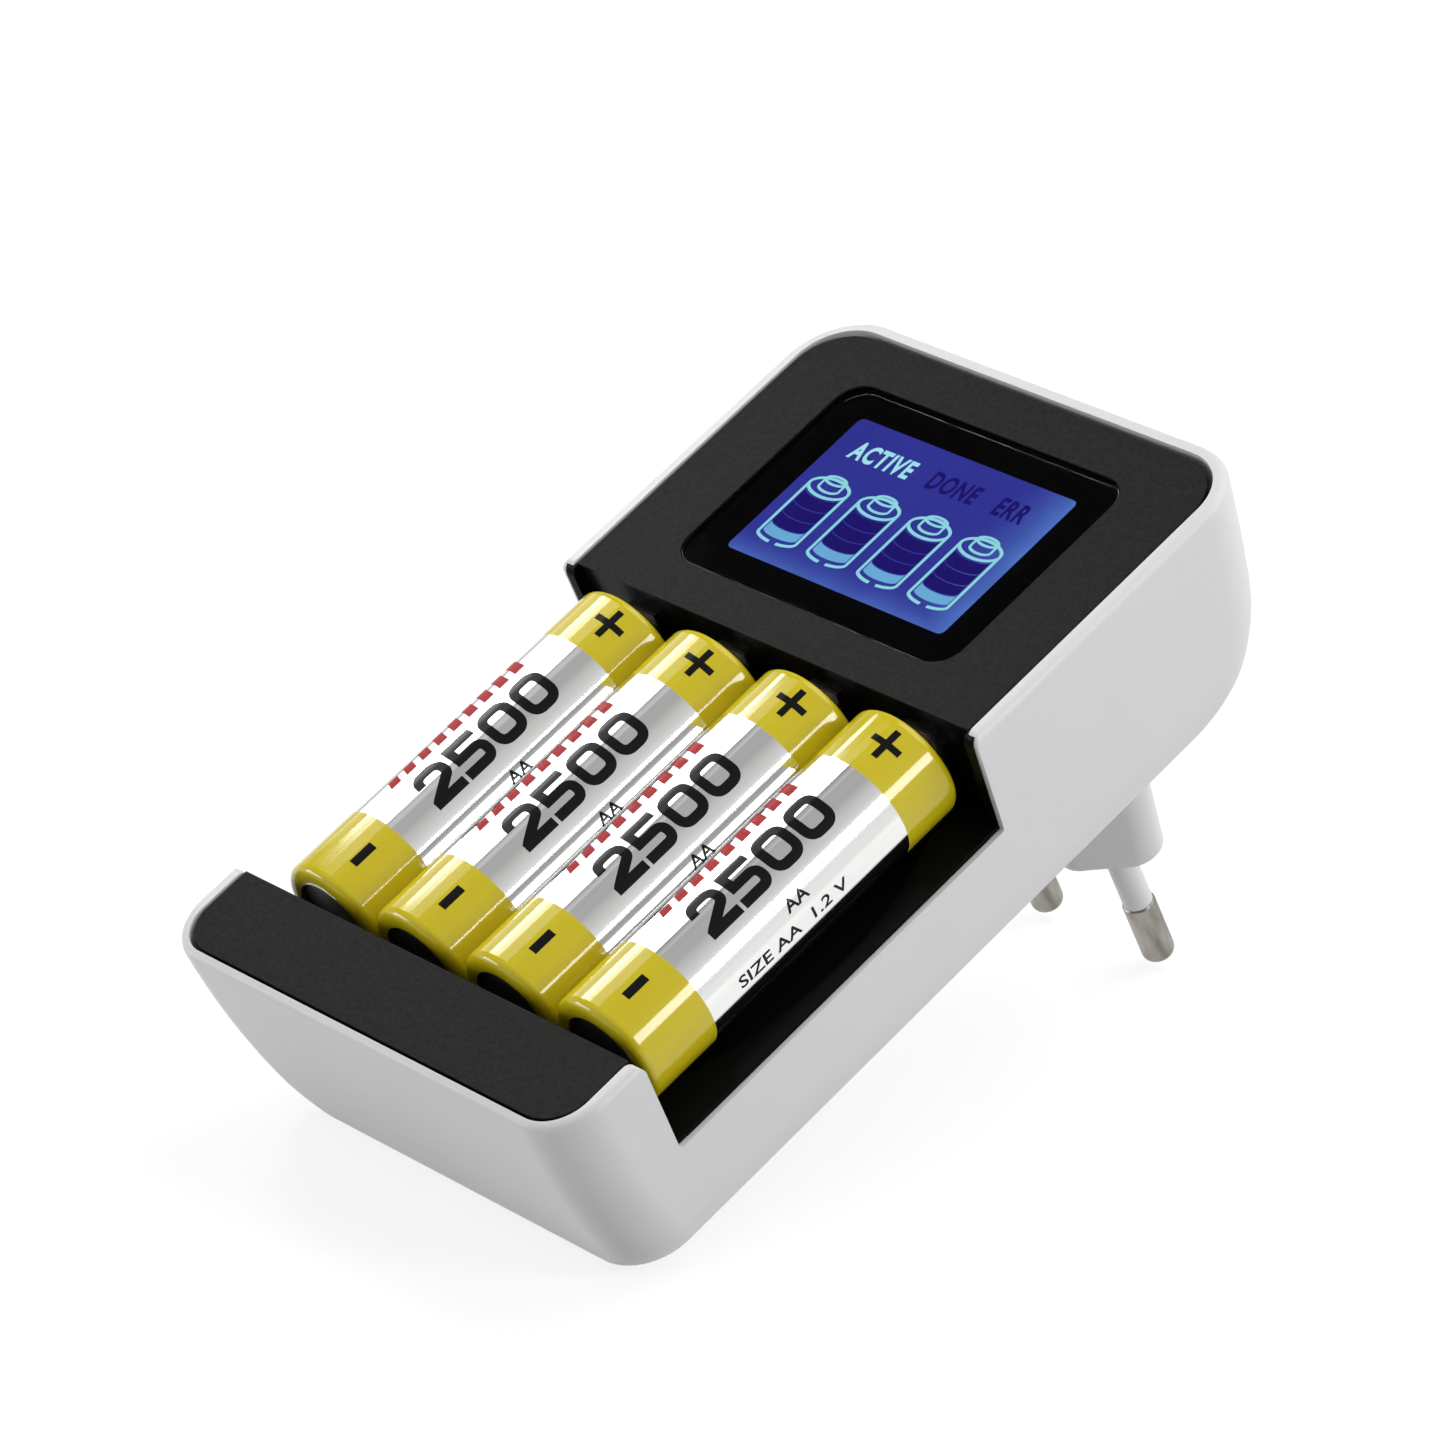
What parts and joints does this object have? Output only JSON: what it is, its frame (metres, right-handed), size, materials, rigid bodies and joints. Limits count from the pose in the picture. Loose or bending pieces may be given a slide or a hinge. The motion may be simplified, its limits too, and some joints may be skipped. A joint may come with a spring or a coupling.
{
  "type": "aa battery charger",
  "caption": "Plug-in wall charger for AA cells: white tub housing, black tray with open cell bays and finger notches, lit display window and round-pin plug on the back.",
  "frame": {"origin": "middle of the plug block's end face, between the two pins", "axes": "+Z out of the front face, +Y towards the display end, +X to the right seen from the front with the display up; the pins point along -Z"},
  "size_m": [0.0684, 0.1126, 0.0708],
  "materials": {
    "white_plastic": "satin moulded",
    "black_plastic": "fine texture on the face, gloss in the bays",
    "nickel": "nickel plated",
    "steel": "zinc plated",
    "window": "polished, black border",
    "display_glass": "blue lit display",
    "light_guide": "diffusing",
    "contact_rubber": "matt",
    "circuit_board": "solder mask",
    "component_black": "moulded",
    "component_pale": "moulded",
    "component_tan": "lacquered",
    "transformer": "ferrite and tape",
    "capacitor_blue": "shrink sleeve",
    "cell_sleeve": "metallised label with yellow ends"
  },
  "bodies": {
    "charger": {"rear_housing": "white_plastic", "battery_tray": "black_plastic", "plug_block": "white_plastic", "pin_left": "nickel", "pin_right": "nickel", "sleeve_left": "white_plastic", "sleeve_right": "white_plastic", "window_lens": "window", "lcd_cell": "display_glass", "light_guide": "light_guide", "backlight_leds": "component_pale", "contact_rubber": "contact_rubber", "display_board": "circuit_board", "display_screws": "steel", "board_link": "component_black", "main_board": "circuit_board", "board_screws": "steel", "transformer": "transformer", "bulk_capacitor": "capacitor_blue", "output_capacitor": "component_black", "bridge_rectifier": "component_black", "fuse_resistor": "component_tan", "switching_chip": "component_black", "optocoupler": "component_pale", "controller_chip": "component_black", "charge_transistors": "component_black", "housing_screws": "steel", "positive_contact_1": "nickel", "positive_contact_2": "nickel", "positive_contact_3": "nickel", "positive_contact_4": "nickel", "negative_terminal_1": "nickel", "negative_terminal_2": "nickel", "negative_terminal_3": "nickel", "negative_terminal_4": "nickel", "cell_1": "cell_sleeve", "cell_2": "cell_sleeve", "cell_3": "cell_sleeve", "cell_4": "cell_sleeve"},
    "spring_1": {"negative_contact_1": "nickel"},
    "spring_2": {"negative_contact_2": "nickel"},
    "spring_3": {"negative_contact_3": "nickel"},
    "spring_4": {"negative_contact_4": "nickel"}
  },
  "joints": [
    {"name": "spring_1_flex", "type": "hinge", "parent": "charger", "child": "spring_1", "pos_m": [-0.0228, -0.07815, 0.0375], "axis": [1, 0, 0], "range_deg": [0, 12], "stiffness_Nm_per_rad": 0.1, "springref_deg": -8.59},
    {"name": "spring_2_flex", "type": "hinge", "parent": "charger", "child": "spring_2", "pos_m": [-0.0076, -0.07815, 0.0375], "axis": [1, 0, 0], "range_deg": [0, 12], "stiffness_Nm_per_rad": 0.1, "springref_deg": -8.59},
    {"name": "spring_3_flex", "type": "hinge", "parent": "charger", "child": "spring_3", "pos_m": [0.0076, -0.07815, 0.0375], "axis": [1, 0, 0], "range_deg": [0, 12], "stiffness_Nm_per_rad": 0.1, "springref_deg": -8.59},
    {"name": "spring_4_flex", "type": "hinge", "parent": "charger", "child": "spring_4", "pos_m": [0.0228, -0.07815, 0.0375], "axis": [1, 0, 0], "range_deg": [0, 12], "stiffness_Nm_per_rad": 0.1, "springref_deg": -8.59}
  ]
}
